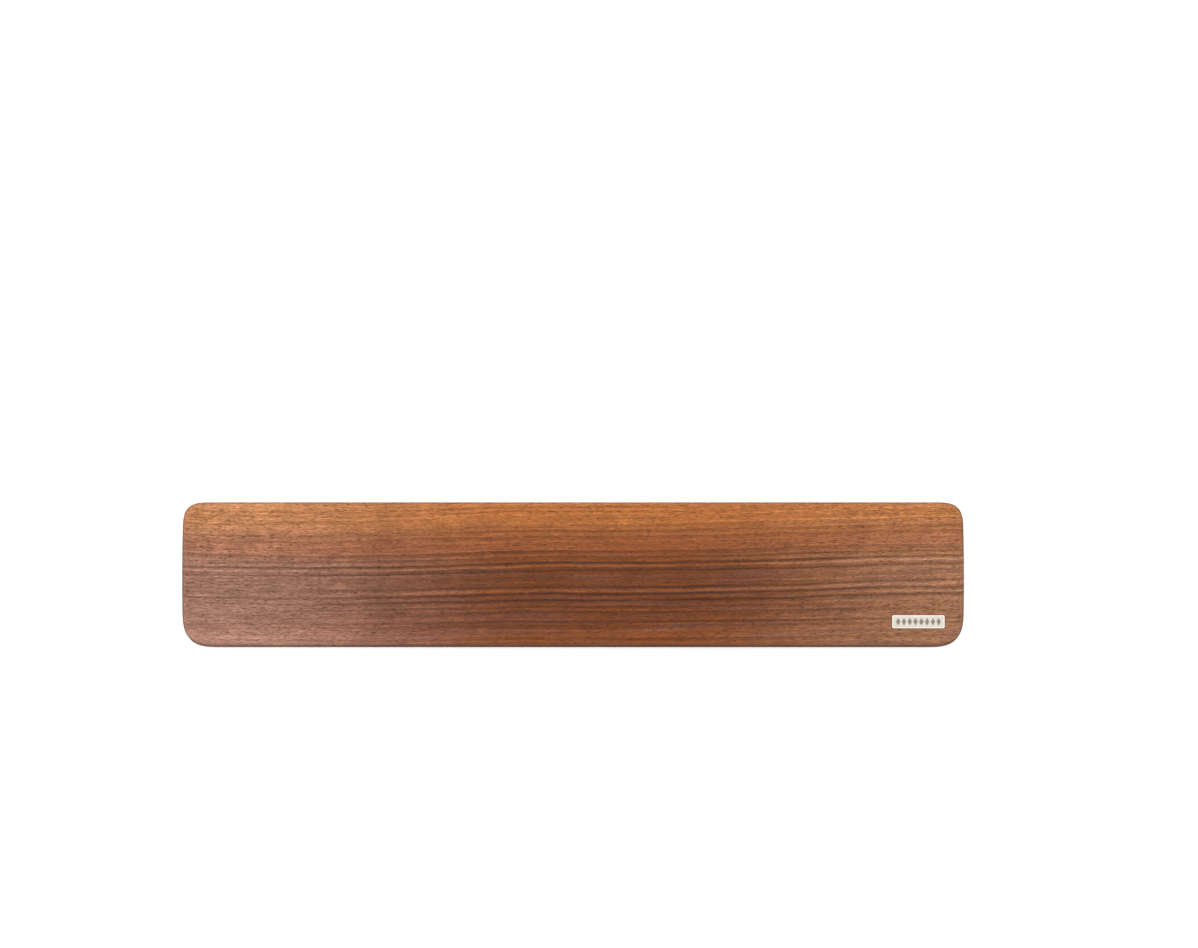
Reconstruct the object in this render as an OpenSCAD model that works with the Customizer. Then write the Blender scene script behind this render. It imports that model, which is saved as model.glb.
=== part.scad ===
// Solid-wood wrist rest for a full-size keyboard.
// The origin is on the desk under the middle of the rest.
// +X runs to the user's right, +Y towards the keyboard, +Z up. Sizes are in millimetres.

/* [Body] */
// Overall length, left to right
body_w = 446; // [330:1:460]
// Overall depth, user's side to keyboard side
body_d = 82; // [70:1:100]
// Height of the top above the desk at the keyboard side
back_h = 19.5; // [17:0.5:24]
// Height of the top above the desk at the user's side
front_h = 15.5; // [13:0.5:17]
// Rise of the top's crown above its straight slope
crown_h = 0.8; // [0:0.1:2]
// Radius that rounds over the top edge
edge_r = 3.5; // [2:0.5:5]
// Radius that eases the bottom edge
base_r = 1.2; // [0.5:0.1:2]
// Reach of each corner's curve at the user's side
front_corner = 22; // [18:1:32]
// Reach of each corner's curve at the keyboard side
back_corner = 16; // [14:1:30]
// Squareness of the corner curves, where 2 is an ellipse
corner_power = 3.4; // [2:0.1:4]
// How far each end bows outwards
side_bow = 0.6; // [0:0.1:2]

/* [Badge] */
// Length of the badge
badge_w = 30; // [24:1:40]
// Height of the badge
badge_h = 7.6; // [6:0.2:10]
// Thickness of the badge plate
badge_t = 1; // [0.8:0.1:1.4]
// How far the badge stands proud of the wood
badge_proud = 0.4; // [0.2:0.1:0.6]
// Gap from the badge to the right end
badge_margin_x = 11.2; // [8:0.1:20]
// Gap from the badge to the user's side
badge_margin_y = 9.8; // [8:0.1:20]
// Corner radius of the badge
badge_r = 1; // [0.5:0.1:2]
// Number of lozenges engraved in the badge
lozenges = 8; // [4:1:9]

/* [Feet] */
// Diameter of a rubber foot
foot_d = 14; // [10:0.5:18]
// How far a foot stands below the wood
foot_proud = 1.5; // [1:0.1:2.5]
// Depth of the recess that holds a foot
recess_h = 1.2; // [0.8:0.1:2]
// Feet in each of the two rows
feet_per_row = 3; // [2:1:5]
// Distance from the ends of the rest to the outer feet's centres
foot_inset_x = 34; // [24:1:50]
// Distance from the long edges to the feet's centres
foot_inset_y = 14; // [12:0.5:20]

/* [Hidden] */
corner_steps = 16;
side_steps = 6;
round_steps = 6;
base_steps = 2;
plate_facets = 32;
foot_facets = 64;
// How far a cutter reaches past the surface that it opens
cut_past = 2;

slope = (back_h - front_h) / body_d;
mid_h = (back_h + front_h) / 2;
base_z = foot_proud;

badge_x = body_w / 2 - badge_margin_x - badge_w / 2;
badge_y = -body_d / 2 + badge_margin_y + badge_h / 2;
badge_gap = 0.15;
badge_tape_t = 0.15;
badge_tape_inset = 0.5;
badge_edge = 0.25;
badge_seat = badge_t - badge_proud + badge_tape_t;
lozenge_w = 2.5;
lozenge_h = 4.2;
lozenge_pitch = 3.3;
lozenge_depth = 0.35;

foot_gap = 0.25;
foot_tape_t = 0.2;
foot_tape_inset = 0.8;
foot_h = foot_proud + recess_h - foot_tape_t;
foot_chamfer = 0.7;
foot_count = 2 * feet_per_row;

// Height of the top at depth y.
function top_z(y) = mid_h + slope * y + crown_h * (1 - pow(2 * y / body_d, 2));

// Angle of the top to the desk at depth y.
function top_angle(y) = atan(slope - 8 * crown_h * y / (body_d * body_d));

// A point on a corner curve, measured inwards from the sharp corner it replaces.
// Angle 0 is on the end of the rest, and 90 on its long edge.
function corner_point(reach, angle) = [
    reach * (1 - pow(cos(angle), 2 / corner_power)),
    reach * (1 - pow(sin(angle), 2 / corner_power))
];

// Right half of the plan outline, from the user's side to the keyboard side.
side_start = -body_d / 2 + front_corner;
side_end = body_d / 2 - back_corner;
square_half = concat(
    [for (i = [0:corner_steps])
        let (c = corner_point(front_corner, 90 - 90 * i / corner_steps))
        [body_w / 2 - c.x, -body_d / 2 + c.y]],
    [for (i = [1:side_steps - 1])
        [body_w / 2, side_start + (side_end - side_start) * i / side_steps]],
    [for (i = [0:corner_steps])
        let (c = corner_point(back_corner, 90 * i / corner_steps))
        [body_w / 2 - c.x, body_d / 2 - c.y]]
);
half = [for (p = square_half) [p.x - side_bow * pow(2 * p.y / body_d, 2), p.y]];
half_n = len(half);
outline = concat(half, [for (i = [half_n - 1:-1:0]) [-half[i].x, half[i].y]]);
ring_n = len(outline);

// Outward unit normal of the outline at point i.
function normal(i) =
    let (a = outline[(i + ring_n - 1) % ring_n], b = outline[(i + 1) % ring_n], t = b - a)
    [t.y, -t.x] / norm(t);

// The outline moved inwards by s.
function inset_ring(s) = [for (i = [0:ring_n - 1]) outline[i] - s * normal(i)];

// A ring of the eased bottom edge, then a ring of the rounded top edge. Angle 0 is on the wall.
function base_ring(angle) = [
    for (p = inset_ring(base_r * (1 - cos(angle))))
        [p.x, p.y, base_z + base_r * (1 - sin(angle))]
];
function top_ring(angle) = [
    for (p = inset_ring(edge_r * (1 - cos(angle))))
        [p.x, p.y, top_z(p.y) - edge_r * (1 - sin(angle))]
];

// The wooden blank before its recesses are cut. Points at one depth pair up left and right,
// so that the crowned top is made of flat strips that run the whole length.
module blank() {
    rings = concat(
        [for (i = [base_steps:-1:0]) base_ring(90 * i / base_steps)],
        [for (i = [0:round_steps]) top_ring(90 * i / round_steps)]
    );
    last = ring_n * (len(rings) - 1);
    base_cap = [[for (i = [0:ring_n - 1]) i]];
    top_cap = [
        for (i = [0:half_n - 2])
            [last + ring_n - 1 - i, last + ring_n - 2 - i, last + i + 1, last + i]
    ];
    walls = [
        for (r = [0:len(rings) - 2], i = [0:ring_n - 1])
            let (a = r * ring_n + i, b = r * ring_n + (i + 1) % ring_n)
            each [[a, a + ring_n, b], [b, a + ring_n, b + ring_n]]
    ];
    polyhedron(points = [for (r = rings) each r], faces = concat(base_cap, top_cap, walls));
}

module rounded_plate(w, h, r, t) {
    linear_extrude(t) {
        square([w - 2 * r, h], center = true);
        square([w, h - 2 * r], center = true);
        for (x = [-1, 1], y = [-1, 1])
            translate([x * (w / 2 - r), y * (h / 2 - r)]) circle(r, $fn = plate_facets);
    }
}

// Places children on the top at the badge, with z = 0 on the wood and the local slope followed.
module at_badge() {
    translate([badge_x, badge_y, top_z(badge_y)]) rotate([top_angle(badge_y), 0, 0]) children();
}

// Places children on the wood's underside at the centre of foot i.
module at_foot(i) {
    column = (i - 1) % feet_per_row;
    row = floor((i - 1) / feet_per_row);
    span = body_w - 2 * foot_inset_x;
    translate([
        -span / 2 + column * span / (feet_per_row - 1),
        (row == 0 ? -1 : 1) * (body_d / 2 - foot_inset_y),
        base_z
    ]) children();
}

module walnut_body() {
    color("#8a5a3c") difference() {
        blank();
        for (i = [1:foot_count])
            at_foot(i) translate([0, 0, -cut_past])
                cylinder(r = foot_d / 2 + foot_gap, h = recess_h + cut_past, $fn = foot_facets);
        at_badge() translate([0, 0, -badge_seat])
            rounded_plate(badge_w + 2 * badge_gap, badge_h + 2 * badge_gap,
                badge_r + badge_gap, badge_seat + cut_past);
    }
}

module lozenge() {
    polygon([[-lozenge_w / 2, 0], [0, -lozenge_h / 2], [lozenge_w / 2, 0], [0, lozenge_h / 2]]);
}

module badge_plate() {
    color("#e6e2dc") at_badge() difference() {
        union() {
            translate([0, 0, badge_proud - badge_t])
                rounded_plate(badge_w, badge_h, badge_r, badge_t - badge_edge);
            translate([0, 0, badge_proud - badge_edge])
                rounded_plate(badge_w - 2 * badge_edge, badge_h - 2 * badge_edge,
                    badge_r - badge_edge, badge_edge);
        }
        for (i = [0:lozenges - 1])
            translate([(i - (lozenges - 1) / 2) * lozenge_pitch, 0, badge_proud - lozenge_depth])
                linear_extrude(lozenge_depth + cut_past) lozenge();
    }
}

module badge_tape() {
    color("#d8d8d0") at_badge() translate([0, 0, -badge_seat])
        rounded_plate(badge_w - 2 * badge_tape_inset, badge_h - 2 * badge_tape_inset,
            badge_r, badge_tape_t);
}

module rubber_foot(i) {
    color("#1e1e20") at_foot(i) translate([0, 0, -foot_proud]) rotate_extrude($fn = foot_facets)
        polygon([
            [0, 0],
            [foot_d / 2 - foot_chamfer, 0],
            [foot_d / 2, foot_chamfer],
            [foot_d / 2, foot_h],
            [0, foot_h]
        ]);
}

module foot_tape(i) {
    color("#d8d8d0") at_foot(i) translate([0, 0, recess_h - foot_tape_t])
        cylinder(r = foot_d / 2 - foot_tape_inset, h = foot_tape_t, $fn = foot_facets);
}

walnut_body();
badge_plate();
badge_tape();
for (i = [1:foot_count]) {
    rubber_foot(i);
    foot_tape(i);
}
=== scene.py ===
"""A walnut wrist rest for a full-size keyboard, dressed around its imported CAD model.

Lengths are in millimetres, and mesh_object() turns them into metres. +X runs to the user's right, +Y towards
the keyboard and +Z up. The origin is on the desk, under the middle of the rest.
"""

import math

import bmesh
import bpy
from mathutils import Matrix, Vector
from mathutils.geometry import delaunay_2d_cdt


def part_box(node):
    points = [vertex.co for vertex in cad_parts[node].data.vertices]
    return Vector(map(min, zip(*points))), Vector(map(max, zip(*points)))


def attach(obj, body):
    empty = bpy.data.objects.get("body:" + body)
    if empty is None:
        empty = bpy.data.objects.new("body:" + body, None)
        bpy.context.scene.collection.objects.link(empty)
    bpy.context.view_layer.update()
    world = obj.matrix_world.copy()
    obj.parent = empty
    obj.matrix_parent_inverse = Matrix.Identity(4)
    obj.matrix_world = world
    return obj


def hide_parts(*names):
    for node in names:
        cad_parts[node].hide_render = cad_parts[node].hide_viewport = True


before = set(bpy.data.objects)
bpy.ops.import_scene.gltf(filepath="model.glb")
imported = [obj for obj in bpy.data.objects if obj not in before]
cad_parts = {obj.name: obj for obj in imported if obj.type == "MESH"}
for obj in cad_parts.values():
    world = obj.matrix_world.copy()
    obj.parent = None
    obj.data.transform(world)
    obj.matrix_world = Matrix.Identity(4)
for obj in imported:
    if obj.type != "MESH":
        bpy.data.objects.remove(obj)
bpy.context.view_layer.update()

# One millimetre, in metres.
MM = 0.001


def box_mm(node):
    """The lowest and highest corners of a CAD node, in millimetres."""
    low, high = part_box(node)
    return low / MM, high / MM


# ---------------------------------------------------------------- sizes

body_low, body_high = box_mm("walnut_body")
BODY_W = body_high.x - body_low.x
BODY_D = body_high.y - body_low.y
BASE_Z = body_low.z
BACK_H = 19.5
FRONT_H = 15.5
CROWN_H = 0.8
EDGE_R = 3.5
BASE_R = 1.2
FRONT_CORNER = 22.0
BACK_CORNER = 16.0
CORNER_POWER = 3.4
SIDE_BOW = 0.6
SLOPE = (BACK_H - FRONT_H) / BODY_D
MID_H = (BACK_H + FRONT_H) / 2

badge_low, badge_high = box_mm("badge_plate")
BADGE_X = (badge_low.x + badge_high.x) / 2
BADGE_Y = (badge_low.y + badge_high.y) / 2
BADGE_W = badge_high.x - badge_low.x
BADGE_H = 7.6
BADGE_T = 1.0
BADGE_PROUD = 0.4
BADGE_R = 1.0
BADGE_GAP = 0.15
BADGE_SEAT = 0.75
LOZENGES = 8
LOZENGE_W = 2.5
LOZENGE_H = 4.2
LOZENGE_PITCH = 3.3
LOZENGE_DEPTH = 0.35

FEET = 6
FOOT_R = 7.0
FOOT_GAP = 0.25
RECESS_H = 1.2


def top_z(y):
    """Height of the top at depth y."""
    return MID_H + SLOPE * y + CROWN_H * (1 - (2 * y / BODY_D) ** 2)


BADGE_TILT = math.atan(SLOPE - 8 * CROWN_H * BADGE_Y / BODY_D**2)


# ---------------------------------------------------------------- camera, floor and light

# The picture is PICTURE_W wide at AIM. The camera looks straight down but for CAMERA_TILT, in degrees.
LENS = 200
SENSOR = 36
PICTURE_W = 683.9
CAMERA_TILT = 5.5
AIM = (14.8, 57.1, 17.5)

# The camera sees what lies between these distances, in metres.
CLIP_START = 0.05
CLIP_END = 50

# The floor is a square that reaches FLOOR_REACH to each side. Its glow keeps it near white.
FLOOR_REACH = 6000
FLOOR_Z = -0.05
FLOOR_GLOW = 0.38

# The strength of the surround, how wide a softbox is in metres, and each softbox's name, its place in metres
# and its power in watts.
SURROUND_LIGHT = 1.0
SOFTBOX_SIZE = 1.6
SOFTBOXES = (
    ("key", (-1.2, 1.9, 2.2), 15),
    ("right_fill", (1.9, 0.6, 2.0), 10),
    ("left_fill", (-2.0, -0.2, 2.0), 8),
)


def make_camera():
    """Looks almost straight down, from slightly towards the user."""
    data = bpy.data.cameras.new("camera")
    data.lens = LENS
    data.sensor_width = SENSOR
    data.clip_start = CLIP_START
    data.clip_end = CLIP_END
    camera = bpy.data.objects.new("camera", data)
    tilt = math.radians(CAMERA_TILT)
    distance = PICTURE_W * LENS / SENSOR
    camera.location = (Vector(AIM) + distance * Vector((0, -math.sin(tilt), math.cos(tilt)))) * MM
    camera.rotation_euler = (tilt, 0, 0)
    bpy.context.scene.collection.objects.link(camera)
    bpy.context.scene.camera = camera


def make_softbox(name, place, power):
    """A softbox that faces the rest and stays out of the picture."""
    data = bpy.data.lights.new(name, "AREA")
    data.shape = "SQUARE"
    data.size = SOFTBOX_SIZE
    data.energy = power
    light = bpy.data.objects.new(name, data)
    light.location = place
    light.rotation_euler = (-Vector(place)).to_track_quat("-Z", "Y").to_euler()
    light.visible_camera = False
    bpy.context.scene.collection.objects.link(light)


def make_light():
    """An even white surround, and the softboxes."""
    world = bpy.data.worlds.new("studio")
    world.use_nodes = True
    background = world.node_tree.nodes["Background"]
    background.inputs["Color"].default_value = (1, 1, 1, 1)
    background.inputs["Strength"].default_value = SURROUND_LIGHT
    bpy.context.scene.world = world
    for softbox in SOFTBOXES:
        make_softbox(*softbox)
    bpy.context.scene.view_settings.view_transform = "Standard"


# ---------------------------------------------------------------- meshes

# Points closer than this are one: in metres when a mesh is welded, in millimetres when a ring is filled.
CLOSE = 1e-6

# Tells delaunay_2d_cdt to leave out the triangles outside the outer ring.
INSIDE_ONLY = 1


def mesh_object(name, points, faces, materials, face_materials=None, sharp_angle=40):
    """Makes an object from points in millimetres. Points in the same place are welded, and edges sharper
    than sharp_angle, in degrees, stay crisp."""
    data = bpy.data.meshes.new(name)
    data.from_pydata([Vector(p) * MM for p in points], [], faces)
    for material in materials:
        data.materials.append(material)
    if face_materials:
        data.polygons.foreach_set("material_index", face_materials)
    shape = bmesh.new()
    shape.from_mesh(data)
    bmesh.ops.remove_doubles(shape, verts=shape.verts, dist=CLOSE)
    bmesh.ops.recalc_face_normals(shape, faces=shape.faces)
    shape.to_mesh(data)
    shape.free()
    data.shade_smooth()
    data.set_sharp_from_angle(angle=math.radians(sharp_angle))
    made = bpy.data.objects.new(name, data)
    bpy.context.scene.collection.objects.link(made)
    weighted = made.modifiers.new("weighted_normals", "WEIGHTED_NORMAL")
    weighted.keep_sharp = True
    return made


class Shell:
    """Collects points and faces from rings that join up."""

    def __init__(self):
        self.points = []
        self.faces = []
        self.kinds = []

    def add_ring(self, ring):
        start = len(self.points)
        self.points += ring
        return range(start, start + len(ring))

    def add_face(self, face, kind=0):
        self.faces.append(tuple(face))
        self.kinds.append(kind)

    def join(self, a, b, kind=0):
        """Joins two rings of equal length with a band of quads."""
        for i in range(len(a)):
            j = (i + 1) % len(a)
            self.add_face((a[i], a[j], b[j], b[i]), kind)

    def loft(self, rings, kind=0):
        """Joins a list of rings, and returns the first and the last of them."""
        made = [self.add_ring(ring) for ring in rings]
        for a, b in zip(made, made[1:]):
            self.join(a, b, kind)
        return made[0], made[-1]

    def cap(self, outer, holes, inner_points, in_hole, kind=0):
        """Fills the ring outer, less its holes, with triangles. All are rings of points on one surface.
        inner_points are loose points of that surface. in_hole says whether (x, y) is in a hole."""
        points = list(outer)
        edges = ring_edges(0, len(outer))
        for hole in holes:
            edges += ring_edges(len(points), len(hole))
            points += hole
        points += inner_points
        flat = [Vector((p[0], p[1])) for p in points]
        found, _, faces, origins, _, _ = delaunay_2d_cdt(flat, edges, [], INSIDE_ONLY, CLOSE)
        start = len(self.points)
        for place, origin in zip(found, origins):
            self.points.append(points[origin[0]] if origin else (place.x, place.y, 0))
        for face in faces:
            middle = sum((found[i] for i in face), Vector((0, 0))) / len(face)
            if not in_hole(middle.x, middle.y):
                self.add_face([start + i for i in face], kind)


def ring_edges(start, count):
    """Pairs of neighbours in a ring of count points, the first of which is numbered start."""
    return [(start + i, start + (i + 1) % count) for i in range(count)]


# ---------------------------------------------------------------- the board

CORNER_STEPS = 30
END_STEPS = 12
EDGE_STEPS = 48
ROUND_STEPS = 10
BASE_STEPS = 5
WALL_STEPS = 4

# The rounding of the pocket's and the recesses' edges.
EASE = 0.15
POCKET_W = BADGE_W + 2 * BADGE_GAP
POCKET_H = BADGE_H + 2 * BADGE_GAP
POCKET_R = BADGE_R + BADGE_GAP
RECESS_R = FOOT_R + FOOT_GAP

# Steps between the loose points of the top and of the underside, along and across. Rows of them shift right
# and left in turn, by ROW_SHIFT of a step. They keep LOOSE_GAP from holes and from the top's rounded edge,
# and BASE_GAP from the eased edge of the underside.
TOP_GRID = (6, 3.8)
BASE_GRID = (9, 6)
ROW_SHIFT = 0.25
LOOSE_GAP = 1.5
BASE_GAP = 2


def corner_curve(reach):
    """Points of one corner's curve, measured inwards from the sharp corner. They run from the end of the
    rest to its long edge."""
    points = []
    for i in range(CORNER_STEPS + 1):
        angle = math.pi / 2 * i / CORNER_STEPS
        across, along = math.cos(angle), math.sin(angle)
        size = (across**CORNER_POWER + along**CORNER_POWER) ** (1 / CORNER_POWER)
        points.append((reach * (1 - across / size), reach * (1 - along / size)))
    return points


def board_outline():
    """Plan outline of the board, anticlockwise from the left end of the straight front edge."""
    half = [(BODY_W / 2 - x, -BODY_D / 2 + y) for x, y in reversed(corner_curve(FRONT_CORNER))]
    low, high = -BODY_D / 2 + FRONT_CORNER, BODY_D / 2 - BACK_CORNER
    half += [(BODY_W / 2, low + (high - low) * i / END_STEPS) for i in range(1, END_STEPS)]
    half += [(BODY_W / 2 - x, BODY_D / 2 - y) for x, y in corner_curve(BACK_CORNER)]
    half = [(x - SIDE_BOW * (2 * y / BODY_D) ** 2, y) for x, y in half]
    front_x, back_x = half[0][0], half[-1][0]
    inner = range(1, EDGE_STEPS)
    front = [(-front_x + 2 * front_x * i / EDGE_STEPS, -BODY_D / 2) for i in inner]
    back = [(back_x - 2 * back_x * i / EDGE_STEPS, BODY_D / 2) for i in inner]
    return front + half + back + [(-x, y) for x, y in reversed(half)]


def inset(outline, distance):
    """The outline moved inwards."""
    moved = []
    for i, (x, y) in enumerate(outline):
        before, after = outline[i - 1], outline[(i + 1) % len(outline)]
        along = Vector((after[0] - before[0], after[1] - before[1])).normalized()
        moved.append((x - distance * along.y, y + distance * along.x))
    return moved


def rounded_rectangle(width, height, radius, steps=8):
    """Points round a rectangle, anticlockwise."""
    points = []
    for quarter, (sx, sy) in enumerate([(1, -1), (1, 1), (-1, 1), (-1, -1)]):
        for i in range(steps + 1):
            angle = math.pi / 2 * (quarter - 1 + i / steps)
            x = sx * (width / 2 - radius) + radius * math.cos(angle)
            y = sy * (height / 2 - radius) + radius * math.sin(angle)
            points.append((x, y))
    return points


def circle(x, y, radius, z, steps=64):
    """Points round a level circle, anticlockwise."""
    turns = [2 * math.pi * i / steps for i in range(steps)]
    return [(x + radius * math.cos(t), y + radius * math.sin(t), z) for t in turns]


def on_badge(u, v, w):
    """A point given along, across and above the top at the badge."""
    c, s = math.cos(BADGE_TILT), math.sin(BADGE_TILT)
    return (BADGE_X + u, BADGE_Y + v * c - w * s, top_z(BADGE_Y) + v * s + w * c)


def on_top(x, y):
    """The point of the top over (x, y)."""
    return (x, y, top_z(y))


def grid(step_x, step_y, margin):
    """Loose points at least margin inside the board's outline, in rows that shift left and right by turns."""
    points = []
    columns, rows = int(BODY_W / step_x), int(BODY_D / step_y)
    for j in range(rows):
        for i in range(columns):
            x = (i + 0.5 + ROW_SHIFT * (-1) ** j - columns / 2) * step_x
            y = (j + 0.5 - rows / 2) * step_y
            if inside_board(x, y, margin):
                points.append((x, y))
    return points


def inside_board(x, y, margin):
    """Whether (x, y) is at least margin inside the board's outline."""
    corner = FRONT_CORNER if y < 0 else BACK_CORNER
    across = max(0.0, abs(x) - (BODY_W / 2 - corner))
    along = max(0.0, abs(y) - (BODY_D / 2 - corner))
    return (across**CORNER_POWER + along**CORNER_POWER) ** (1 / CORNER_POWER) < corner - margin


def in_rectangle(x, y, width, height):
    """Whether (x, y) is in a rectangle round the badge's middle."""
    return abs(x - BADGE_X) < width / 2 and abs(y - BADGE_Y) < height / 2


def foot_centre(i):
    """The middle of foot i, from the CAD model."""
    low, high = box_mm(f"rubber_foot_{i}")
    return (low.x + high.x) / 2, (low.y + high.y) / 2


def board_rings():
    """Rings up the board's side, from the flat underside to the crowned top."""
    outline = board_outline()
    rings = []
    for i in range(BASE_STEPS + 1):
        angle = math.pi / 2 * (1 - i / BASE_STEPS)
        z = BASE_Z + BASE_R * (1 - math.sin(angle))
        rings.append([(x, y, z) for x, y in inset(outline, BASE_R * (1 - math.cos(angle)))])
    for i in range(1, WALL_STEPS):
        low = BASE_Z + BASE_R
        share = i / WALL_STEPS
        rings.append([(x, y, low + (top_z(y) - EDGE_R - low) * share) for x, y in outline])
    for i in range(ROUND_STEPS + 1):
        angle = math.pi / 2 * i / ROUND_STEPS
        drop = EDGE_R * (1 - math.sin(angle))
        inner = inset(outline, EDGE_R * (1 - math.cos(angle)))
        rings.append([(x, y, top_z(y) - drop) for x, y in inner])
    return rings


def eased(angle):
    """How far an eased edge is out from a hole's wall and in from its surface, at an angle in degrees."""
    turn = math.radians(angle)
    return EASE * (1 - math.sin(turn)), EASE * (1 - math.cos(turn))


def pocket_outline(grow):
    """Points round the badge's pocket, along and across it, grown by grow."""
    return rounded_rectangle(POCKET_W + 2 * grow, POCKET_H + 2 * grow, POCKET_R + grow)


def add_badge_pocket(shell):
    """The pocket's eased edge, its wall and its floor. Returns the edge, which lies on the top."""
    edge = []
    for u, v in pocket_outline(EASE):
        x, y, _ = on_badge(u, v, 0)
        edge.append(on_top(x, y))
    rings = [edge]
    for angle in (30, 60, 90):
        grow, drop = eased(angle)
        rings.append([on_badge(u, v, -drop) for u, v in pocket_outline(grow)])
    rings.append([on_badge(u, v, -BADGE_SEAT) for u, v in pocket_outline(0)])
    _, last = shell.loft(rings)
    shell.add_face(last)
    return edge


def add_foot_recess(shell, x, y):
    """A round recess in the underside. Returns its edge."""
    rings = [circle(x, y, RECESS_R + EASE, BASE_Z)]
    for angle in (45, 90):
        grow, rise = eased(angle)
        rings.append(circle(x, y, RECESS_R + grow, BASE_Z + rise))
    rings.append(circle(x, y, RECESS_R, BASE_Z + RECESS_H))
    _, last = shell.loft(rings)
    shell.add_face(last)
    return rings[0]


def cap_top(shell, outer):
    """Fills the top, round the badge's pocket."""
    pocket = add_badge_pocket(shell)

    def in_pocket(x, y, margin=0.0):
        grow = 2 * EASE
        return in_rectangle(x, y, POCKET_W + grow + 2 * margin, POCKET_H + grow + 2 * margin)

    spots = grid(*TOP_GRID, EDGE_R + LOOSE_GAP)
    loose = [on_top(x, y) for x, y in spots if not in_pocket(x, y, LOOSE_GAP)]
    shell.cap(outer, [pocket], loose, in_pocket)


def cap_underside(shell, outer):
    """Fills the underside, round the feet's recesses."""
    centres = [foot_centre(i + 1) for i in range(FEET)]
    recesses = [add_foot_recess(shell, x, y) for x, y in centres]

    def in_recess(x, y, margin=0.0):
        return any(math.hypot(x - cx, y - cy) < RECESS_R + EASE + margin for cx, cy in centres)

    spots = grid(*BASE_GRID, BASE_R + BASE_GAP)
    loose = [(x, y, BASE_Z) for x, y in spots if not in_recess(x, y, LOOSE_GAP)]
    shell.cap(outer, recesses, loose, in_recess)


def make_board(material):
    """The board, from its side's rings and the two faces that close them."""
    shell = Shell()
    rings = board_rings()
    shell.loft(rings)
    cap_top(shell, rings[-1])
    cap_underside(shell, rings[0])
    board = mesh_object("walnut_board", shell.points, shell.faces, [material])
    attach(board, "root")
    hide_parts("walnut_body")


# ---------------------------------------------------------------- the badge

BADGE_BEVEL = 0.25
BEVEL_STEPS = 5
BACK_BEVEL = 0.1
BADGE_SHARP = 30

# The rim is RIM_W wide, and the field lies FIELD_DROP below it, at height FIELD_TOP above the wood.
RIM_W = 0.45
FIELD_DROP = 0.12
FIELD_TOP = BADGE_PROUD - FIELD_DROP

# A lozenge's wall is steep for its first LIP_DEPTH, and slopes in by LOZENGE_BEVEL by its floor. Its long
# corners move further than its side ones as it shrinks.
LIP = 0.03
LIP_DEPTH = 0.06
LOZENGE_BEVEL = 0.12
SHRINK_X = 1.2
SHRINK_Y = 2

# The badge's materials, by number. The rim's, 0, is the one that faces get unless they say otherwise.
METAL_RECESS = 1
METAL_FIELD = 2


def lozenge_ring(middle, grow, w):
    """The corners of a lozenge round (middle, 0), grown by grow, at height w above the wood."""
    half_w, half_h = LOZENGE_W / 2 + grow * SHRINK_X, LOZENGE_H / 2 + grow * SHRINK_Y
    corners = [(half_w, 0), (0, half_h), (-half_w, 0), (0, -half_h)]
    return [on_badge(middle + u, v, w) for u, v in corners]


def add_lozenge(shell, middle):
    """An engraved lozenge with sloped walls. Returns its edge on the badge's face."""
    rings = [
        lozenge_ring(middle, 0, FIELD_TOP),
        lozenge_ring(middle, -LIP, FIELD_TOP - LIP_DEPTH),
        lozenge_ring(middle, -LOZENGE_BEVEL, BADGE_PROUD - LOZENGE_DEPTH),
    ]
    _, last = shell.loft(rings, METAL_RECESS)
    shell.add_face(last, METAL_RECESS)
    return rings[0]


def make_badge(rim, recess, field):
    """A plate with a raised rim round its edge. The rings go from its back, up its side and in to the
    field, each as how far it is grown and its height above the wood."""
    shell = Shell()
    rings = [(-BACK_BEVEL, BADGE_PROUD - BADGE_T), (0, BADGE_PROUD - BADGE_T + BACK_BEVEL)]
    for i in range(BEVEL_STEPS + 1):
        angle = math.pi / 2 * i / BEVEL_STEPS
        grow = -BADGE_BEVEL * (1 - math.cos(angle))
        rings.append((grow, BADGE_PROUD - BADGE_BEVEL * (1 - math.sin(angle))))
    rings += [(-BADGE_BEVEL - RIM_W, BADGE_PROUD), (-BADGE_BEVEL - RIM_W - FIELD_DROP, FIELD_TOP)]
    loops = []
    for grow, w in rings:
        shape = rounded_rectangle(BADGE_W + 2 * grow, BADGE_H + 2 * grow, BADGE_R + grow)
        loops.append([on_badge(u, v, w) for u, v in shape])
    first, _ = shell.loft(loops)
    shell.add_face(reversed(first))

    middles = [(i - (LOZENGES - 1) / 2) * LOZENGE_PITCH for i in range(LOZENGES)]
    holes = [add_lozenge(shell, middle) for middle in middles]

    def in_lozenge(x, y):
        across = min(abs(x - BADGE_X - middle) for middle in middles) / (LOZENGE_W / 2)
        return across + abs(y - on_badge(0, 0, FIELD_TOP)[1]) / (LOZENGE_H / 2) < 1

    shell.cap(loops[-1], holes, [], in_lozenge, METAL_FIELD)
    metals = [rim, recess, field]
    badge = mesh_object("metal_badge", shell.points, shell.faces, metals, shell.kinds, BADGE_SHARP)
    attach(badge, "root")
    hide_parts("badge_plate")


# ---------------------------------------------------------------- the feet

# The dimple in the sole, as (radius, height) pairs, and the radii of the grooves round it.
DIMPLE = ((1.2, 0.35), (1.5, 0.3), (1.7, 0.0))
GROOVES = (2.9, 4.1, 5.3)
GROOVE_HALF = 0.3
GROOVE_FLOOR_HALF = 0.15
GROOVE_DEPTH = 0.16
SOLE_R = 0.7
SOLE_STEPS = 6
FOOT_BEVEL = 0.15


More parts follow.
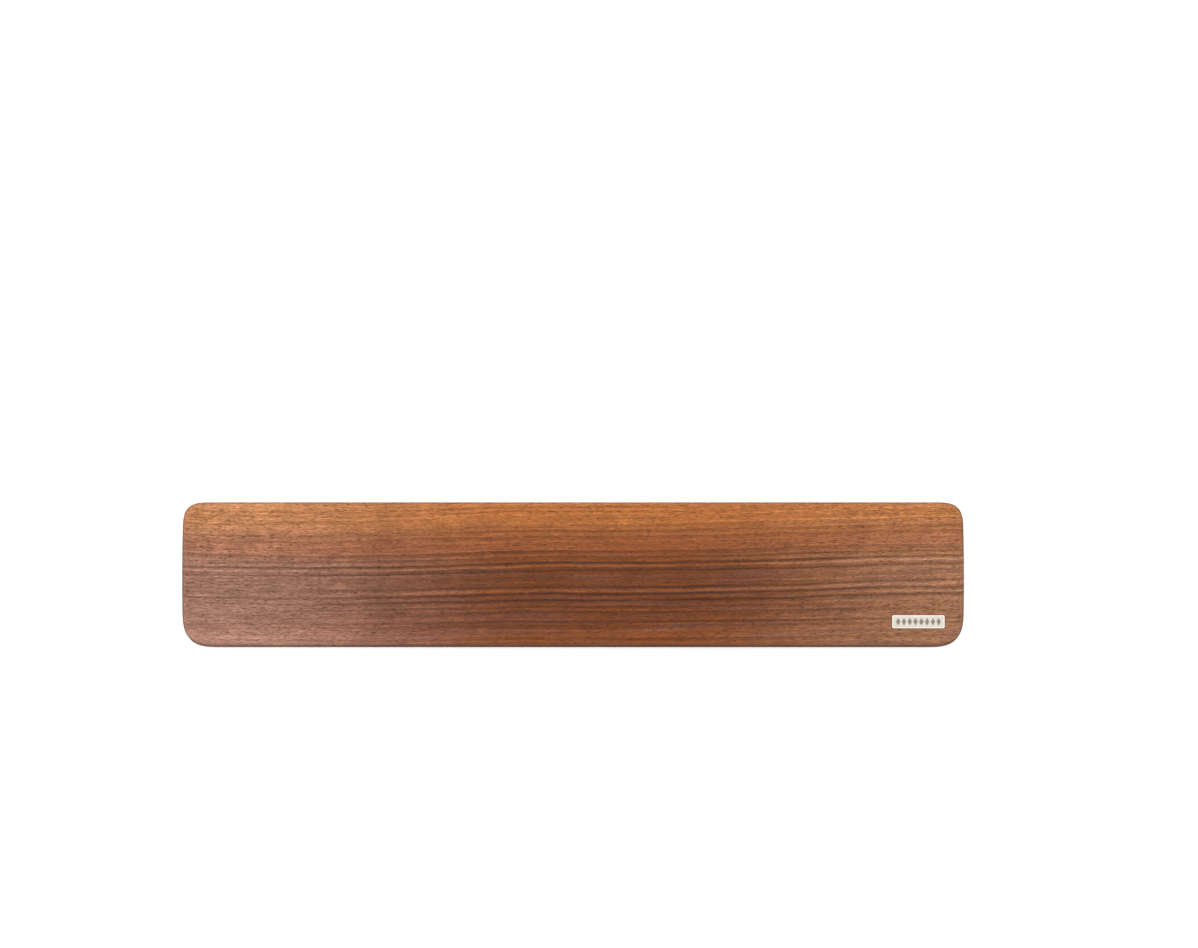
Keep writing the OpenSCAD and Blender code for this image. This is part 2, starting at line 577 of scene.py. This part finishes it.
def foot_profile(height):
    """(radius, height) pairs of a moulded foot, from the dimple in its sole to the edge of its top."""
    profile = list(DIMPLE)
    for groove in GROOVES:
        profile += [(groove - GROOVE_HALF, 0.0), (groove - GROOVE_FLOOR_HALF, GROOVE_DEPTH)]
        profile += [(groove + GROOVE_FLOOR_HALF, GROOVE_DEPTH), (groove + GROOVE_HALF, 0.0)]
    for i in range(SOLE_STEPS + 1):
        angle = math.pi / 2 * i / SOLE_STEPS
        profile.append((FOOT_R - SOLE_R * (1 - math.sin(angle)), SOLE_R * (1 - math.cos(angle))))
    profile += [(FOOT_R, height - FOOT_BEVEL), (FOOT_R - FOOT_BEVEL, height)]
    return profile


def make_foot(i, material):
    """A foot turned round its profile, where the CAD model has foot i."""
    node = f"rubber_foot_{i}"
    low, high = box_mm(node)
    x, y = foot_centre(i)
    shell = Shell()
    rings = [circle(x, y, r, low.z + z) for r, z in foot_profile(high.z - low.z)]
    first, last = shell.loft(rings)
    shell.add_face(reversed(first))
    shell.add_face(last)
    foot = mesh_object(f"moulded_foot_{i}", shell.points, shell.faces, [material])
    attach(foot, "root")
    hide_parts(node)


# ---------------------------------------------------------------- materials

# The Mix node's sockets for mixing colours.
MIX_SHARE, MIX_A, MIX_B = 0, 6, 7
MIX_COLOUR = 2


def srgb(text):
    """A linear colour from six hexadecimal digits, by the sRGB curve."""
    parts = [int(text[i : i + 2], 16) / 255 for i in (0, 2, 4)]
    return [p / 12.92 if p <= 0.04045 else ((p + 0.055) / 1.055) ** 2.4 for p in parts] + [1.0]


class Graph:
    """A short way to write a material's nodes. Most methods add a node or two and return an output."""

    def __init__(self, name):
        self.material = bpy.data.materials.new(name)
        self.material.use_nodes = True
        self.tree = self.material.node_tree
        self.shader = self.tree.nodes["Principled BSDF"]

    def node(self, kind, output, *inputs, **settings):
        """inputs are (socket, value) pairs, where a value is a number, a vector or an output."""
        made = self.tree.nodes.new(kind)
        for key, value in settings.items():
            setattr(made, key, value)
        for key, value in inputs:
            self.put(made.inputs[key], value)
        return made.outputs[output]

    def put(self, socket, value):
        """Links an output to the socket, or sets a plain value on it."""
        if isinstance(value, bpy.types.NodeSocket):
            self.tree.links.new(value, socket)
        else:
            socket.default_value = value

    def set(self, **values):
        """Sets or links the shader's own sockets."""
        for name, value in values.items():
            self.put(self.shader.inputs[name.replace("_", " ")], value)

    def math(self, operation, a, b=0.0, c=0.0):
        return self.node("ShaderNodeMath", 0, (0, a), (1, b), (2, c), operation=operation)

    def add(self, first, *others):
        total = first
        for other in others:
            total = self.math("ADD", total, other)
        return total

    def multiply(self, first, *others):
        total = first
        for other in others:
            total = self.math("MULTIPLY", total, other)
        return total

    def scale(self, vector, factor):
        """A vector or a colour times a number."""
        return self.node("ShaderNodeVectorMath", 0, (0, vector), (3, factor), operation="SCALE")

    def stretch(self, vector, factors):
        """A vector or a colour times another, part by part."""
        return self.node("ShaderNodeVectorMath", 0, (0, vector), (1, factors), operation="MULTIPLY")

    def vector(self, x, y, z):
        return self.node("ShaderNodeCombineXYZ", 0, (0, x), (1, y), (2, z))

    def split(self, vector):
        """A vector's x, y and z."""
        return self.node("ShaderNodeSeparateXYZ", 0, (0, vector)).node.outputs

    def place(self):
        """The point on the object, in metres."""
        return self.node("ShaderNodeTexCoord", "Object")

    def place_mm(self):
        """The point on the object, in millimetres."""
        return self.scale(self.place(), 1 / MM)

    def fit(self, value, low, high, to_low=0.0, to_high=1.0, smooth=True):
        """Maps low..high to to_low..to_high, with soft ends if smooth."""
        kind = "SMOOTHSTEP" if smooth else "LINEAR"
        inputs = [("Value", value), ("From Min", low), ("From Max", high)]
        inputs += [("To Min", to_low), ("To Max", to_high)]
        return self.node("ShaderNodeMapRange", 0, *inputs, interpolation_type=kind)

    def blend(self, share, start, end):
        """A number that goes softly from start to end as share goes from 0 to 1."""
        return self.fit(share, 0, 1, start, end)

    def band(self, value, middle, reach):
        """1 at middle, falling softly to 0 at reach to either side of it."""
        away = self.math("ABSOLUTE", self.math("SUBTRACT", value, middle))
        return self.fit(away, 0, reach, 1, 0)

    def noise(self, place, detail=2.0, roughness=0.5):
        """Noise from 0 to 1, with one bump to each unit of place."""
        inputs = (("Vector", place), ("Scale", 1.0), ("Detail", detail), ("Roughness", roughness))
        return self.node("ShaderNodeTexNoise", 0, *inputs)

    def swing(self, noise, strength):
        """Noise turned into a swing either side of 0."""
        return self.multiply(self.math("SUBTRACT", noise, 0.5), strength)

    def mix(self, share, a, b):
        """A colour between a, at share 0, and b, at share 1."""
        inputs = ((MIX_SHARE, share), (MIX_A, a), (MIX_B, b))
        return self.node("ShaderNodeMix", MIX_COLOUR, *inputs, data_type="RGBA")

    def ramp(self, value, stops):
        """A colour for a value from 0 to 1. stops are (value, colour) pairs."""
        output = self.node("ShaderNodeValToRGB", 0, (0, value))
        elements = output.node.color_ramp.elements
        for i, (place, colour) in enumerate(stops):
            stop = elements[i] if i < 2 else elements.new(place)
            stop.position = place
            stop.color = srgb(colour)
        return output

    def lighten(self, colour, light, follow):
        """A colour times e to the power of light. follow is how strongly red, green and blue follow it."""
        parts = [self.math("EXPONENT", self.multiply(light, share)) for share in follow]
        return self.stretch(colour, self.vector(*parts))

    def bump(self, height, strength, depth):
        """A normal that follows height, where 1 is depth in millimetres."""
        inputs = (("Strength", strength), ("Distance", depth * MM), ("Height", height))
        return self.node("ShaderNodeBump", 0, *inputs)


# ---------------------------------------------------------------- walnut

# The wood's colours at the left end, in the middle and at the right end. The gold is the band along the
# keyboard side, and the heart is the rest. The ends' colours come in over LEFT_FADE and RIGHT_FADE.
HEARTS = ("956b59", "6b3714", "98684a")
GOLDS = ("b97c4f", "aa6632", "b17140")
LEFT_FADE = (-20, -210)
RIGHT_FADE = (65, 230)

# How strongly red, green and blue follow light and dark: dark wood is redder, and pale wood is yellower.
FOLLOW = (0.95, 1.05, 1.22)

# Patches where the heart is duller, where their noise is over BLUSH_SPAN. BLUSH_SHARE is how strong they are
# in the middle and at the left end.
BLUSH = "6e4a40"
BLUSH_SPAN = (0.42, 0.68)
BLUSH_SHARE = (0.3, 0.05)

# The heart warms slowly towards the gold's edge. There it takes a step, which is soft at the left end. Each
# pair is for the middle and for the left end.
GOLD_EDGE = 28
WARM_TO = GOLD_EDGE + 2
WARM_SHARE = (0.66, 0.42)
STEP_FROM = (GOLD_EDGE - 0.6, GOLD_EDGE - 8)
STEP_TO = (GOLD_EDGE + 0.8, GOLD_EDGE + 7)
STEP_SHARE = (0.32, 0.5)

# A redder band where the heart turns gold.
EMBER = "8c4526"
EMBER_Y = 18
EMBER_REACH = 11
EMBER_SHARE = 0.3

# A paler strip along the user's side, which fades out towards the right end: its edge, half the width of
# that edge, and its strength in the middle and at the left end.
PALE_EDGE = -32
PALE_EDGE_HALF = 1
PALE_STRENGTH = (0.3, 0.18)

# Over these lines, the wood lightens towards the user at the left end.
PALE_CORNER = (-24, -12)
PALE_CORNER_LIGHT = 0.1

# Growth years: how wide one is, how unevenly they are spread and over what distance, and how dark its late
# wood and how pale its early wood are. The pairs are ages, where a year goes from 0 to 1.
YEAR_W = 3.6
YEAR_SPREAD = 9
YEAR_SPREAD_OVER = 8
YEAR_DARK = -0.4
YEAR_PALE = 0.14
LATE_WOOD = (0.3, 0.88)
LATE_WOOD_END = (0.9, 1)
EARLY_WOOD = (0, 0.1)
EARLY_WOOD_END = (0.1, 0.55)

# The bold dark years and the pale ones between them, by where they meet the top.
BOLD_YEARS = (-14.5, -11, -7, 2, 6.5)
BOLD_DARK = -0.62
BOLD_REACH = 1.1
PALE_YEARS = (-9, 4.5)
PALE_LIGHT = 0.36
PALE_LIGHT_LEFT = 0.3 * PALE_LIGHT
PALE_REACH = 1.3

# Years are weaker in the gold. They come and go along the board, and fade towards its ends.
CALM_FROM = 18
CALM_IN_GOLD = 0.5
YEAR_FADE_SPAN = (0.3, 0.7)
YEAR_FADE = (0.75, 1.35)
YEARS_MIDDLE = 1.1
YEARS_RIGHT = 0.75

# At the left end, years go from faint to bold over these lines.
FRONT_YEARS = (-7, -1)
FRONT_YEARS_SHARE = (0.3, 0.8)

# A faint dark band that crosses the grain: its middle, its reach and its strength.
CROSS_X = -108
CROSS_REACH = 22
CROSS_DARK = -0.11

# The years sag at the left and rise to the right. Over the lines of FLATTER, that weakens to FRONT_BEND of it
# towards the user's side.
SAG_X = -150
SAG_REACH = 150
SAG = 3
RISE_FROM = 30
RISE_TO = 230
RISE = -4
FRONT_BEND = 0.5
FLATTER = (-30, -10)

# Where the pith lies: in front of the board, and below the slope of its top.
PITH_Y = -81.5
PITH_DEPTH = 42

# How far lines wander, slowly and quickly. Each size from here on is in millimetres along the board, across
# the years and down through them.
SLOW_WANDER = 2.4
SLOW_SIZE = (90, 16, 40)
QUICK_WANDER = 1.0
QUICK_SIZE = (24, 5, 20)

BLUSH_SIZE = (70, 4, 30)
YEAR_FADE_SIZE = (60, 5, 30)
BROAD_STREAKS = 0.9
BROAD_SIZE = (120, 1.5, 40)
FINE_STREAKS = 0.6
FINE_SIZE = (40, 0.7, 20)
FLECKS = 0.7
LONG_FLECK_SIZE = (8, 0.5, 1.5)
SHORT_FLECK_SIZE = (2.8, 0.45, 0.7)
PLAY = 0.4
PLAY_SIZE = (14, 18, 18)

# How many times as strong flecks and pores are in the middle, and what the rising grain at each end adds.
RISING = 1.6
RISING_LEFT = 0.7
RISING_RIGHT = 0.5

# Pores lie where their noise is over PORE_SPAN.
PORE_SIZE = (2.6, 0.42, 0.42)
PORE_SPAN = (0.56, 0.7)
PORE_DARK = -0.42

# The sides get painted shade, a mix towards a dark brown, and more roughness. Both come in as a face turns
# from level, which is 1, to upright, which is 0.
SIDE_SPAN = (0.85, 0.25)
SIDE_PAINTED_SHADE = 0.7
SIDE_ROUGHNESS = 0.4
# The dark brown of the painted shade on the sides.
PAINTED_EDGE_SHADE = "281410"

# The surface: how matt it is, and the fibres and pores that dent it.
TOP_ROUGHNESS = 0.42
PORE_ROUGHNESS = 0.6
WOOD_SPECULAR = 0.2
FIBRE_SIZE = (2.5, 0.2, 0.2)
FIBRE_HEIGHT = 0.25
WOOD_BUMP = 0.6
WOOD_BUMP_DEPTH = 0.06


class Wood(Graph):
    """A graph that knows where a point is in the wood: how far along the board, on which year, and its
    level, which is 0 on the straight slope of the top and below 0 under it."""

    def __init__(self, name):
        super().__init__(name)
        self.x, y, z = self.split(self.place_mm())
        self.level = self.math("SUBTRACT", z, self.math("MULTIPLY_ADD", y, SLOPE, MID_H))
        self.line = self.growth_ring(y)
        self.line = self.bent()
        self.to_left = self.fit(self.x, *reversed(LEFT_FADE), 1, 0)
        self.to_right = self.fit(self.x, *RIGHT_FADE)

    def growth_ring(self, y):
        """The growth ring through a point, named by where it meets the top. Rings circle the pith."""
        reach = self.math("SUBTRACT", y, PITH_Y)
        height = self.add(self.level, PITH_DEPTH)
        squares = self.add(self.multiply(reach, reach), self.multiply(height, height), -PITH_DEPTH**2)
        return self.add(self.math("SQRT", self.math("MAXIMUM", squares, 1)), PITH_Y)

    def bent(self):
        """The ring through a point, once rings sag, rise and wander along the board."""
        sag = self.multiply(self.band(self.x, SAG_X, SAG_REACH), SAG)
        bend = self.add(sag, self.fit(self.x, RISE_FROM, RISE_TO, 0, RISE))
        bend = self.multiply(bend, self.fit(self.line, *FLATTER, FRONT_BEND, 1))
        slow = self.swing(self.grain(SLOW_SIZE), SLOW_WANDER)
        quick = self.swing(self.grain(QUICK_SIZE), QUICK_WANDER)
        return self.add(self.line, bend, slow, quick)

    def grain(self, size, detail=2.0, roughness=0.5):
        """Noise that follows the wood, with bumps of the given size."""
        where = (self.x, self.line, self.level)
        parts = [self.math("DIVIDE", value, length) for value, length in zip(where, size)]
        return self.noise(self.vector(*parts), detail, roughness)


def walnut_tone(g):
    """The wood's colour without its lines: a dark heart that turns gold towards the keyboard side."""
    kinds = []
    for left, middle, right in (HEARTS, GOLDS):
        kinds.append(g.mix(g.to_right, g.mix(g.to_left, srgb(middle), srgb(left)), srgb(right)))
    heart, gold = kinds
    blush = g.fit(g.grain(BLUSH_SIZE), *BLUSH_SPAN, 0, g.blend(g.to_left, *BLUSH_SHARE))
    heart = g.mix(blush, heart, srgb(BLUSH))
    warm = g.fit(g.line, 0, WARM_TO, 0, g.blend(g.to_left, *WARM_SHARE))
    low, high = g.blend(g.to_left, *STEP_FROM), g.blend(g.to_left, *STEP_TO)
    step = g.fit(g.line, low, high, 0, g.blend(g.to_left, *STEP_SHARE))
    ember = g.multiply(g.band(g.line, EMBER_Y, EMBER_REACH), EMBER_SHARE)
    return g.mix(ember, g.mix(g.add(warm, step), heart, gold), srgb(EMBER))


def growth_years(g):
    """Light and dark through the years: each darkens as it ages, and ends at a crisp edge."""
    across = g.vector(0, g.math("DIVIDE", g.line, YEAR_SPREAD_OVER), 0)
    year = g.math("DIVIDE", g.add(g.line, g.swing(g.noise(across, detail=1), YEAR_SPREAD)), YEAR_W)
    age = g.math("FRACT", year)
    own = g.node("ShaderNodeTexWhiteNoise", "Value", ("W", g.math("FLOOR", year)), noise_dimensions="1D")
    late = g.multiply(g.fit(age, *LATE_WOOD), g.fit(age, *LATE_WOOD_END, 1, 0))
    early = g.multiply(g.fit(age, *EARLY_WOOD), g.fit(age, *EARLY_WOOD_END, 1, 0))
    parts = [g.multiply(late, own, YEAR_DARK), g.multiply(early, YEAR_PALE)]
    parts += [g.multiply(g.band(g.line, place, BOLD_REACH), BOLD_DARK) for place in BOLD_YEARS]
    pale = g.blend(g.to_left, PALE_LIGHT, PALE_LIGHT_LEFT)
    parts += [g.multiply(g.band(g.line, place, PALE_REACH), pale) for place in PALE_YEARS]
    return g.multiply(g.add(*parts), g.fit(g.line, CALM_FROM, GOLD_EDGE, 1, CALM_IN_GOLD))


def year_strength(g):
    """How strong the years are: they come and go along the board, and are fainter towards its ends."""
    fade = g.fit(g.grain(YEAR_FADE_SIZE), *YEAR_FADE_SPAN, *YEAR_FADE, smooth=False)
    left_end = g.fit(g.line, *FRONT_YEARS, *FRONT_YEARS_SHARE)
    fade = g.multiply(fade, g.blend(g.to_left, YEARS_MIDDLE, left_end))
    return g.multiply(fade, g.blend(g.to_right, 1, YEARS_RIGHT))


def pale_areas(g):
    """Where the wood lightens towards the user: along the front strip, and at the left end."""
    strength = g.multiply(g.blend(g.to_left, *PALE_STRENGTH), g.blend(g.to_right, 1, 0))
    strip = g.fit(g.line, PALE_EDGE - PALE_EDGE_HALF, PALE_EDGE + PALE_EDGE_HALF, strength, 0)
    corner = g.fit(g.line, *PALE_CORNER, g.multiply(g.to_left, PALE_CORNER_LIGHT), 0)
    return strip, corner


def walnut_flecks(g):
    """Short light and dark dashes along the grain, long and short ones together."""
    long = g.swing(g.grain(LONG_FLECK_SIZE, roughness=0.6), FLECKS)
    short = g.swing(g.grain(SHORT_FLECK_SIZE, roughness=0.6), FLECKS)
    return g.add(long, short)


def walnut_light(g, pores):
    """Everything that lightens or darkens the wood, as powers of e that add up."""
    years = g.multiply(growth_years(g), year_strength(g))
    strip, corner = pale_areas(g)
    cross = g.multiply(g.band(g.x, CROSS_X, CROSS_REACH), CROSS_DARK)
    broad = g.swing(g.grain(BROAD_SIZE, detail=3, roughness=0.6), BROAD_STREAKS)
    fine = g.swing(g.grain(FINE_SIZE, roughness=0.6), FINE_STREAKS)
    rising = g.add(RISING, g.multiply(g.to_left, RISING_LEFT), g.multiply(g.to_right, RISING_RIGHT))
    flecks = g.multiply(walnut_flecks(g), rising)
    dark = g.multiply(pores, rising, PORE_DARK)
    play = g.swing(g.grain(PLAY_SIZE), PLAY)
    return g.add(years, strip, corner, cross, broad, fine, flecks, dark, play)


def walnut_material():
    """Solid walnut. The growth layers wrap round a pith that lies in front of the board and below its top."""
    g = Wood("walnut")

    # Pores are dark dashes on the faces, and dots on the end grain.
    pores = g.fit(g.grain(PORE_SIZE, detail=1), *PORE_SPAN)
    colour = g.lighten(walnut_tone(g), walnut_light(g, pores), FOLLOW)

    # The sides are darker than the top by painted shade, and are less polished.
    up = g.split(g.node("ShaderNodeNewGeometry", "Normal"))[2]
    side = g.fit(g.math("ABSOLUTE", up), *SIDE_SPAN)
    # Painted shade: upright faces are mixed towards a dark brown.
    colour = g.mix(g.multiply(side, SIDE_PAINTED_SHADE), colour, srgb(PAINTED_EDGE_SHADE))
    rough = g.fit(pores, 0, 1, TOP_ROUGHNESS, PORE_ROUGHNESS, smooth=False)
    rough = g.add(rough, g.multiply(side, SIDE_ROUGHNESS))

    height = g.math("SUBTRACT", g.multiply(g.grain(FIBRE_SIZE), FIBRE_HEIGHT), pores)
    normal = g.bump(height, WOOD_BUMP, WOOD_BUMP_DEPTH)
    g.set(Base_Color=colour, Roughness=rough, Normal=normal, Specular_IOR_Level=WOOD_SPECULAR)
    return g.material


# ---------------------------------------------------------------- metal, rubber, foam and floor

# The badge's rim, its lozenges and its field: name, colour and roughness.
METALS = (("nickel", "f6eee6", 0.34), ("nickel_recess", "948e86", 0.5), ("nickel_field", "ddd5cb", 0.52))

# Brush marks, as bumps to the millimetre along x, y and z, and smudges. Over each one's span of noise, the
# nickel's shade is multiplied by and its roughness goes up by what follows.
BRUSH = (0.4, 12, 12)
BRUSH_SPAN = (0.2, 0.8)
BRUSH_SHADE = (0.93, 1.05)
BRUSH_ROUGHNESS = (-0.06, 0.06)
SMUDGE = 0.35
SMUDGE_SPAN = (0.3, 0.7)
SMUDGE_SHADE = (0.96, 1.03)
SMUDGE_ROUGHNESS = (0, 0.06)
NICKEL_BUMP = 0.3
NICKEL_BUMP_DEPTH = 0.01

# The rubber's texture and its dust, as bumps to the millimetre.
RUBBER = "1c1c1e"
RUBBER_GRAIN = 6.0
RUBBER_SPAN = (0.3, 0.7)
RUBBER_ROUGHNESS = (0.7, 0.86)
DUST = "2c2b2a"
DUST_PATCH = 0.3
DUST_SPAN = (0.45, 0.75)
RUBBER_SPECULAR = 0.35
RUBBER_BUMP = 0.5
RUBBER_BUMP_DEPTH = 0.04

# The foam's colours from a cell's middle to its wall, how many cells there are to the metre, and how matt
# it is in the same order as the colours.
FOAM = ((0, "a8a8a0"), (0.6, "d8d8d0"), (1, "e4e4dc"))
FOAM_CELLS = 2500.0
FOAM_ROUGHNESS = (0.75, 0.95)
FOAM_BUMP = 0.5
FOAM_BUMP_DEPTH = 0.05

FLOOR_TONES = ((0.93, 0.93, 0.93, 1), (0.95, 0.95, 0.95, 1))
FLOOR_MOTTLE = 9.0
FLOOR_ROUGHNESS = 0.9
FLOOR_SPECULAR = 0.1


def nickel_material(name, tone, roughness):
    """Nickel, brushed along its length, with faint smudges."""
    g = Graph(name)
    place = g.place_mm()
    brushed = g.noise(g.stretch(place, BRUSH), detail=3, roughness=0.6)
    smudge = g.noise(g.scale(place, SMUDGE))
    shade = g.fit(brushed, *BRUSH_SPAN, *BRUSH_SHADE, smooth=False)
    shade = g.multiply(shade, g.fit(smudge, *SMUDGE_SPAN, *SMUDGE_SHADE))
    colour = g.scale(srgb(tone)[:3], shade)
    rough = g.add(roughness, g.fit(brushed, *BRUSH_SPAN, *BRUSH_ROUGHNESS))
    rough = g.add(rough, g.fit(smudge, *SMUDGE_SPAN, *SMUDGE_ROUGHNESS))
    normal = g.bump(brushed, NICKEL_BUMP, NICKEL_BUMP_DEPTH)
    g.set(Base_Color=colour, Roughness=rough, Normal=normal, Metallic=1.0)
    return g.material


def rubber_material():
    """Matt moulded rubber with a fine texture and a little dust."""
    g = Graph("foot_rubber")
    place = g.place_mm()
    grain = g.noise(g.scale(place, RUBBER_GRAIN), detail=3, roughness=0.6)
    dust = g.noise(g.scale(place, DUST_PATCH), detail=3, roughness=0.6)
    colour = g.mix(g.fit(dust, *DUST_SPAN), srgb(RUBBER), srgb(DUST))
    rough = g.fit(grain, *RUBBER_SPAN, *RUBBER_ROUGHNESS)
    normal = g.bump(grain, RUBBER_BUMP, RUBBER_BUMP_DEPTH)
    g.set(Base_Color=colour, Roughness=rough, Normal=normal, Specular_IOR_Level=RUBBER_SPECULAR)
    return g.material


def tape_material():
    """Off-white foam tape with open cells."""
    g = Graph("adhesive_foam")
    cells = g.node("ShaderNodeTexVoronoi", 0, ("Vector", g.place()), ("Scale", FOAM_CELLS))
    normal = g.bump(cells, FOAM_BUMP, FOAM_BUMP_DEPTH)
    g.set(Base_Color=g.ramp(cells, FOAM), Roughness=g.blend(cells, *FOAM_ROUGHNESS), Normal=normal)
    return g.material


def floor_material():
    """A faintly mottled white floor that glows a little."""
    g = Graph("studio_floor")
    mottle = g.noise(g.scale(g.place(), FLOOR_MOTTLE), detail=3)
    g.set(Base_Color=g.mix(mottle, *FLOOR_TONES))
    g.set(Roughness=FLOOR_ROUGHNESS, Specular_IOR_Level=FLOOR_SPECULAR)
    g.set(Emission_Color=(1, 1, 1, 1), Emission_Strength=FLOOR_GLOW)
    return g.material


def make_floor():
    """The floor, which isn't part of the object."""
    far = FLOOR_REACH
    points = [(x * far, y * far, FLOOR_Z) for x, y in ((-1, -1), (1, -1), (1, 1), (-1, 1))]
    floor = mesh_object("floor", points, [(0, 1, 2, 3)], [floor_material()])


# ---------------------------------------------------------------- everything together

make_camera()
make_light()
make_floor()
make_board(walnut_material())
make_badge(*[nickel_material(*metal) for metal in METALS])
rubber = rubber_material()
for foot in range(1, FEET + 1):
    make_foot(foot, rubber)

adhesive = tape_material()
for node_name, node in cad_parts.items():
    if "tape" in node_name:
        node.data.materials.clear()
        node.data.materials.append(adhesive)
